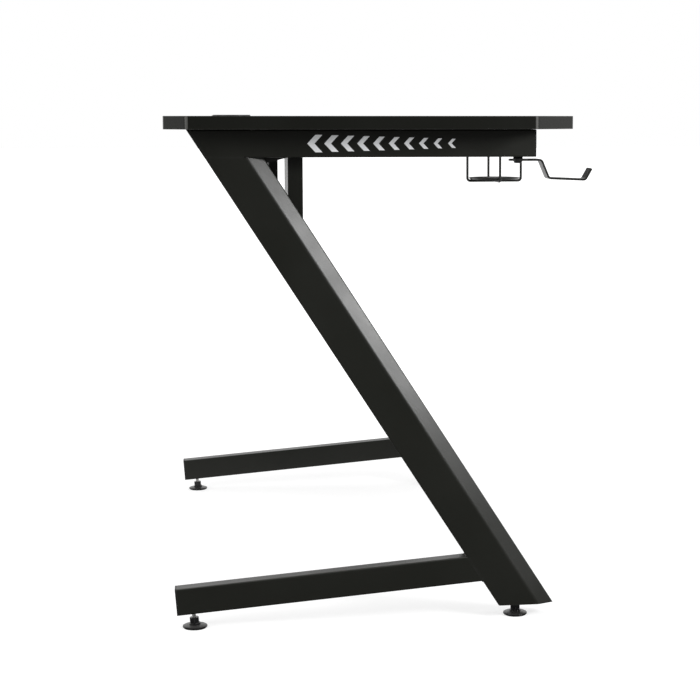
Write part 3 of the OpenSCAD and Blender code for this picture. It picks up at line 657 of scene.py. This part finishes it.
# %% Chamfer the hex collars
TURNED_RADIUS = 7.35 * MM
TURNED_RIM = 1.1 * MM
OVERRUN = 0.02 * MM
for name in sorted(n for n in nodes if n.endswith("_foot_hex")):
    collar = dressed[name]
    axis = Vector(joints[name.replace("_foot_hex", "_spin")]["axis"]).normalized()
    low, high = extent(collar)
    middle = (low + high) / 2
    tall = 2 * max((v.co - middle).dot(axis) for v in collar.data.vertices)
    bpy.ops.object.select_all(action="DESELECT")
    bpy.ops.mesh.primitive_cylinder_add(vertices=48, radius=TURNED_RADIUS, depth=tall + OVERRUN,
                                        location=middle, rotation=upright_along(axis))
    turned = bpy.context.active_object
    rim = turned.modifiers.new("rim", "BEVEL")
    rim.width = TURNED_RIM
    rim.segments = 3
    rim.angle_limit = math.radians(60)
    bpy.ops.object.modifier_apply(modifier="rim")
    combine(collar, turned, "INTERSECT", smooth=math.radians(25))
print("collars chamfered")

# %% [markdown]
# ## Recessed tube caps
# A moulded cap isn't a flat plate: its face sinks a little inside a rim. A block with rounded edges is laid
# on the big outer face, a rim's width smaller than the face all round, and cuts a shallow pocket.

# %% Sink the cap faces
POCKET = 0.9 * MM
POCKET_EDGE_SHARE = 0.7
NEARLY_FACING = 0.98


def sink_face(piece, toward, rim):
    """Cuts a shallow pocket into the piece's largest flat face that looks along toward."""
    facing = [f for f in piece.data.polygons if f.normal.dot(toward) > NEARLY_FACING]
    outer = max(facing, key=lambda f: f.area)
    across = Vector((1, 0, 0))
    up = outer.normal.cross(across)
    corners = [piece.data.vertices[i].co for i in outer.vertices]
    spans = [(min(c.dot(way) for c in corners), max(c.dot(way) for c in corners)) for way in (across, up)]
    middle = outer.normal * corners[0].dot(outer.normal)
    for way, (low, high) in zip((across, up), spans):
        middle += way * (low + high) / 2
    width, height = (high - low - 2 * rim for low, high in spans)
    turn = Matrix((across, up, outer.normal)).transposed().to_euler()
    bpy.ops.object.select_all(action="DESELECT")
    bpy.ops.mesh.primitive_cube_add(size=1, location=middle, rotation=turn)
    edit_all()
    bpy.ops.transform.resize(value=(width, height, 2 * POCKET), orient_type="LOCAL")
    bpy.ops.mesh.bevel(offset=POCKET * POCKET_EDGE_SHARE, segments=4, affect="EDGES")
    bpy.ops.object.mode_set(mode="OBJECT")
    combine(piece, bpy.context.active_object, "DIFFERENCE")


for side in ("left", "right"):
    sink_face(dressed[side + "_rail_front_cap"], Vector((0, -1, 0)), rim=2.4 * MM)
    sink_face(dressed[side + "_bar_rear_cap"], Vector((0, 1, 0)), rim=2.2 * MM)
print("caps sunk")

# %% [markdown]
# A bevel shares its rounded shading with the flat faces next to it, which makes plates look pillowed.
# Weighted normals give each point the direction of its largest face, so the flats stay flat and only the
# edges turn.

# %% Keep the flats flat
for piece in dressed.values():
    select_only(piece)
    flat = piece.modifiers.new("flat", "WEIGHTED_NORMAL")
    flat.keep_sharp = True
    bpy.ops.object.modifier_apply(modifier="flat")
print(len(dressed), "pieces shaded flat")

# %% [markdown]
# ## Weld beads
# Where a joint isn't ground flush, the weld still shows under the paint as a row of small ripples. One
# ripple is a squashed ball, repeated along a line. The lines are worked out from the boxes of the welded
# pieces and from the leg's lean and section.

# %% One bead along a line of points
SQUASH = 0.55


def weld_bead(name, points, thick, slot="powder_coat"):
    """Overlapping painted ripples along a line of points."""
    stretches = []
    for start, end in zip(points, points[1:]):
        run = Vector(end) - Vector(start)
        count = max(3, round(run.length / (thick * SQUASH)) + 1)
        bpy.ops.object.select_all(action="DESELECT")
        bpy.ops.mesh.primitive_uv_sphere_add(segments=12, ring_count=6, radius=thick)
        ripple = bpy.context.active_object
        edit_all()
        bpy.ops.transform.resize(value=(SQUASH, 1, 1))
        bpy.ops.object.mode_set(mode="OBJECT")
        row = ripple.modifiers.new("row", "ARRAY")
        row.count = count
        row.use_relative_offset = False
        row.use_constant_offset = True
        row.constant_offset_displace = (run.length / (count - 1), 0, 0)
        bpy.ops.object.modifier_apply(modifier="row")
        ripple.matrix_world = Matrix.Translation(start) @ run.to_track_quat("X", "Z").to_matrix().to_4x4()
        bpy.ops.object.transform_apply(location=True, rotation=True, scale=True)
        stretches.append(ripple)
    for ripple in stretches:
        ripple.select_set(True)
    bpy.context.view_layer.objects.active = stretches[0]
    if len(stretches) > 1:
        bpy.ops.object.join()
    bead = bpy.context.active_object
    bead.name = name
    bpy.ops.object.shade_smooth_by_angle(angle=math.radians(60))
    wear_finish(bead, slot)
    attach(bead, "desk")


print("bead tool ready")

# %% Where the frames are welded
LEAN = math.radians(32.6)
LEG_DEPTH = 71 * MM
BEVEL_DEPTH = 20.5 * MM
FRONT_WIDTH = 18 * MM


class SideFrame:
    """Places on one side frame, read from the boxes of its leg and bar."""

    def __init__(self, side):
        self.leg_low, self.leg_high = (Vector(v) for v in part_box(side + "_diagonal_leg"))
        self.bar_low, self.bar_high = (Vector(v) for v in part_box(side + "_base_bar"))
        self.inward = 1 if side == "left" else -1
        self.under_bar = self.leg_high.z - (self.leg_high.y - self.bar_low.y) / math.tan(LEAN)

    def rear_of_leg(self, z):
        """Y of the leg's rear face at a height."""
        return self.leg_high.y - (self.leg_high.z - z) * math.tan(LEAN)

    def under_rail(self, depth):
        """Y, under the rail, of what lies so deep behind the leg's rear face."""
        return self.leg_high.y - depth / math.cos(LEAN)


frames = {side: SideFrame(side) for side in ("left", "right")}
print("bars meet the legs at", [round(f.under_bar, 3) for f in frames.values()], "m")

# %% [markdown]
# Three joints keep their ripples. One goes round the front of the leg under the rail, one round the bar's
# end behind the leg, and two thin ones run along the gusset in the corner.

# %% Welds of the two frames
LEG_ROUNDING = 1.2 * MM
BAR_ROUNDING = 3 * MM
GUSSET_REACH = 34 * MM
HALF_GUSSET = 1.6 * MM
for side, at in frames.items():
    top, bar_top, foot = at.leg_high.z, at.bar_high.z, at.under_bar
    front, bend = at.under_rail(LEG_DEPTH), at.under_rail(LEG_DEPTH - BEVEL_DEPTH)
    middle = (at.leg_low.x + at.leg_high.x) / 2
    weld_bead(side + "_weld_under_rail", [
        (at.leg_low.x + LEG_ROUNDING, bend, top), (middle - FRONT_WIDTH / 2, front, top),
        (middle + FRONT_WIDTH / 2, front, top), (at.leg_high.x - LEG_ROUNDING, bend, top)], 1.5 * MM)
    inner, outer = (at.bar_high.x, at.bar_low.x) if side == "left" else (at.bar_low.x, at.bar_high.x)
    from_outer, near_inner = outer + at.inward * 2 * MM, inner - at.inward * MM
    weld_bead(side + "_weld_at_bar", [
        (from_outer, at.rear_of_leg(bar_top), bar_top), (near_inner, at.rear_of_leg(bar_top), bar_top),
        (inner, at.rear_of_leg(bar_top - BAR_ROUNDING), bar_top - BAR_ROUNDING),
        (inner, at.rear_of_leg(foot + BAR_ROUNDING), foot + BAR_ROUNDING),
        (near_inner, at.rear_of_leg(foot), foot), (from_outer, at.rear_of_leg(foot), foot)], 1.4 * MM)
    for name, x in (("_weld_gusset_a", middle - HALF_GUSSET), ("_weld_gusset_b", middle + HALF_GUSSET)):
        weld_bead(side + name, [(x, front, top), (x, front - GUSSET_REACH, top)], 0.9 * MM)
print("frame welds done")

# %% [markdown]
# On the outer sides the welds are ground flush and painted over, so no joint shows there. The tubes'
# rounded edges leave a groove where they meet, and a strip flush with the outer faces fills it.

# %% Ground welds
GROOVE = 2.5 * MM
DEEP = 1.6 * MM
UNDER_FACE = 0.01 * MM
STRIP_EDGE = 0.15 * MM
PAST_BEND = 4 * MM
WIDER = 1.15


def ground_strip(name, start, end, wide):
    """A strip along a groove, with its outer face flush with the tubes."""
    run = Vector(end) - Vector(start)
    bpy.ops.object.select_all(action="DESELECT")
    bpy.ops.mesh.primitive_cube_add(size=1)
    strip = bpy.context.active_object
    strip.name = name
    edit_all()
    bpy.ops.transform.resize(value=(DEEP, run.length, wide))
    bpy.ops.mesh.bevel(offset=STRIP_EDGE, segments=1, affect="EDGES")
    bpy.ops.object.mode_set(mode="OBJECT")
    strip.location = (Vector(start) + Vector(end)) / 2
    strip.rotation_euler = (math.atan2(run.z, run.y), 0, 0)
    bpy.ops.object.transform_apply(location=True, rotation=True, scale=True)
    wear_finish(strip, "powder_coat")
    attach(strip, "desk")


for side, at in frames.items():
    top, bar_top, foot = at.leg_high.z, at.bar_high.z, at.under_bar
    outside = at.leg_low.x if side == "left" else at.leg_high.x
    x = outside + at.inward * (DEEP / 2 + UNDER_FACE)
    ahead = GROOVE / 2 / math.cos(LEAN)
    ground_strip(side + "_ground_weld_bar", (x, at.rear_of_leg(foot) - ahead, foot),
                 (x, at.rear_of_leg(bar_top) - ahead, bar_top), GROOVE)
    bend = at.under_rail(LEG_DEPTH - BEVEL_DEPTH) + PAST_BEND
    ground_strip(side + "_ground_weld_rail", (x, at.leg_high.y - GROOVE, top + GROOVE / 2),
                 (x, bend, top + GROOVE / 2), GROOVE * WIDER)
print("ground welds done")

# %% [markdown]
# The upright wires of the basket are welded to its ring, each with a short bead just under the ring.

# %% Welds of the cup holder
RING_INSET = 2.5 * MM
BELOW_TOP = 4.6 * MM
HALF_BEAD = 2.6 * MM
FIRST_WIRE = 2.9
cup_low, cup_high = (Vector(v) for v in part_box("cup_basket"))
middle = (cup_low + cup_high) / 2
ring = (cup_high.x - cup_low.x) / 2 - RING_INSET
for index in range(4):
    around = math.radians(90 * index + FIRST_WIRE)
    outward = Vector((math.cos(around), math.sin(around), 0))
    spot = Vector((middle.x, middle.y, cup_high.z - BELOW_TOP)) + ring * outward
    along = Vector((-outward.y, outward.x, 0)) * HALF_BEAD
    weld_bead("weld_wire_%d" % index, [spot - along, spot + along], 1.3 * MM, "accessory_coat")
print("cup holder welds done")

# %% [markdown]
# ## The foot studs
# A stud is a plain M6 thread, and a few turns of it show above each collar. One tooth of the thread's
# outline is drawn as three lines, repeated along the stud, and swept round once while it climbs by one
# pitch: each tooth then runs into the next.

# %% One threaded stud
PITCH = 1.0 * MM
CREST, ROOT = 2.98 * MM, 2.45 * MM
STUD_LENGTH = 43.9 * MM
FLANK_SHARE, FLAT_SHARE = 0.42, 0.16
TOOTH_GAP_SHARE, TURN_GAP_SHARE = 0.05, 0.02
TURN_STEPS = 24


def threaded_stud(name):
    """A thread that stands on z = 0 round the z axis."""
    bpy.ops.object.select_all(action="DESELECT")
    bpy.ops.mesh.primitive_plane_add(size=PITCH)
    stud = bpy.context.active_object
    stud.name = name
    edit_all()
    bpy.ops.mesh.merge(type="CENTER")
    bpy.ops.transform.translate(value=(ROOT, 0, 0))
    for out, rise in ((CREST - ROOT, FLANK_SHARE), (0, FLAT_SHARE), (ROOT - CREST, FLANK_SHARE)):
        bpy.ops.mesh.extrude_region_move(TRANSFORM_OT_translate={"value": (out, 0, PITCH * rise)})
    bpy.ops.object.mode_set(mode="OBJECT")
    teeth = stud.modifiers.new("teeth", "ARRAY")
    teeth.count = int(STUD_LENGTH / PITCH) - 1
    teeth.use_relative_offset = False
    teeth.use_constant_offset = True
    teeth.constant_offset_displace = (0, 0, PITCH)
    teeth.use_merge_vertices = True
    teeth.merge_threshold = PITCH * TOOTH_GAP_SHARE
    bpy.ops.object.modifier_apply(modifier="teeth")
    sweep = stud.modifiers.new("sweep", "SCREW")
    sweep.axis = "Z"
    sweep.angle = math.radians(360)
    sweep.screw_offset = PITCH
    sweep.steps = TURN_STEPS
    sweep.render_steps = TURN_STEPS
    sweep.use_merge_vertices = False
    bpy.ops.object.modifier_apply(modifier="sweep")
    edit_all()
    bpy.ops.mesh.remove_doubles(threshold=PITCH * TURN_GAP_SHARE)
    bpy.ops.mesh.select_all(action="DESELECT")
    bpy.ops.mesh.select_non_manifold()
    bpy.ops.mesh.fill_holes(sides=0)
    bpy.ops.mesh.select_all(action="SELECT")
    bpy.ops.mesh.normals_make_consistent(inside=False)
    bpy.ops.object.mode_set(mode="OBJECT")
    bpy.ops.object.shade_smooth_by_angle(angle=math.radians(40))
    return stud


pattern = threaded_stud("stud_pattern")
print("thread of", len(pattern.data.polygons), "faces,", round(pattern.dimensions.z / MM, 2), "mm long")

# %% [markdown]
# Each foot has its own copy of the stud. The rear studs stand square to the sloping base bar, so each copy
# is turned to the axis on which its foot turns, and lifted to where the stud starts inside the disc.

# %% Place the studs
STARTS_IN_DISC = 2.07 * MM
for name in sorted(n for n in nodes if n.endswith("_foot_stud")):
    spin = joints[name.replace("_foot_stud", "_spin")]
    axis = Vector(spin["axis"]).normalized()
    start = Vector(spin["pos_m"]) + axis * STARTS_IN_DISC
    select_only(pattern)
    bpy.ops.object.duplicate(linked=False)
    stud = bpy.context.active_object
    stud.name = name + "_threaded"
    turn = Vector((0, 0, 1)).rotation_difference(axis).to_matrix().to_4x4()
    stud.matrix_world = Matrix.Translation(start) @ turn
    bpy.ops.object.transform_apply(location=True, rotation=True, scale=True)
    stand_for(stud, name)
bpy.data.objects.remove(pattern)
print("studs placed")
